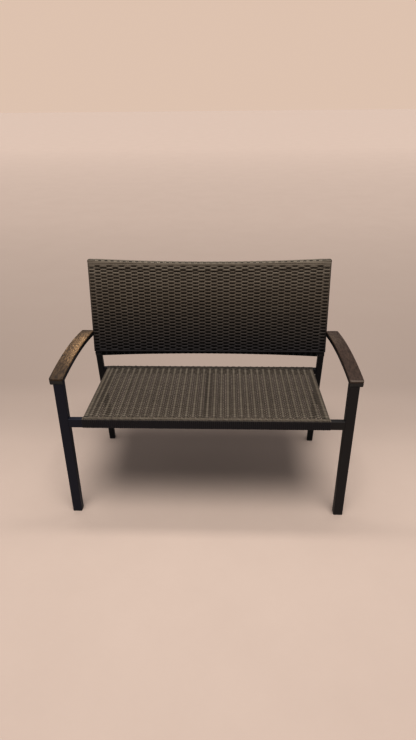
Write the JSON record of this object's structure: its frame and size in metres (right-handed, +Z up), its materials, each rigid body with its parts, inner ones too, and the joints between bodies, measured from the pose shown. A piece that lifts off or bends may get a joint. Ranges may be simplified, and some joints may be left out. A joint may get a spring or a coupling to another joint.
{
  "type": "garden bench",
  "caption": "Garden bench with a welded tube frame, arched arms topped with wooden slats, and a seat and back woven from flat strand.",
  "frame": {"origin": "centre of the bounding box, on the floor under the feet", "axes": "+X to the right of someone facing the bench, along its length; +Y towards the back; +Z up"},
  "size_m": [1.1056, 0.533, 0.9013],
  "materials": {
    "frame_coat": "black satin powder coat",
    "woven_strand": "flat extruded strand, brown grey, faint sheen",
    "arm_wood": "dark brown oiled hardwood, weathered",
    "black_plastic": "moulded matt black",
    "screw_steel": "zinc plated"
  },
  "bodies": {
    "root": {"front_seat_rail": "frame_coat", "rear_seat_rail": "frame_coat", "seat_centre_brace": "frame_coat", "back_top_rail": "frame_coat", "back_bottom_rail": "frame_coat", "back_weave": "woven_strand", "back_wrap_top": "woven_strand", "back_wrap_bottom": "woven_strand", "seat_weave": "woven_strand", "seat_wrap_front": "woven_strand", "seat_wrap_rear": "woven_strand", "front_leg_left": "frame_coat", "front_leg_right": "frame_coat", "rear_post_left": "frame_coat", "rear_post_right": "frame_coat", "seat_side_tube_left": "frame_coat", "seat_side_tube_right": "frame_coat", "arm_tube_left": "frame_coat", "arm_tube_right": "frame_coat", "arm_slat_left": "arm_wood", "arm_slat_right": "arm_wood", "arm_screws_left": "screw_steel", "arm_screws_right": "screw_steel", "arm_front_plug_left": "black_plastic", "arm_front_plug_right": "black_plastic", "arm_rear_plug_left": "black_plastic", "arm_rear_plug_right": "black_plastic", "front_glide_left": "black_plastic", "front_glide_right": "black_plastic", "rear_glide_left": "black_plastic", "rear_glide_right": "black_plastic", "back_wrap_left": "woven_strand", "back_wrap_right": "woven_strand", "seat_wrap_left": "woven_strand", "seat_wrap_right": "woven_strand"}
  },
  "joints": []
}
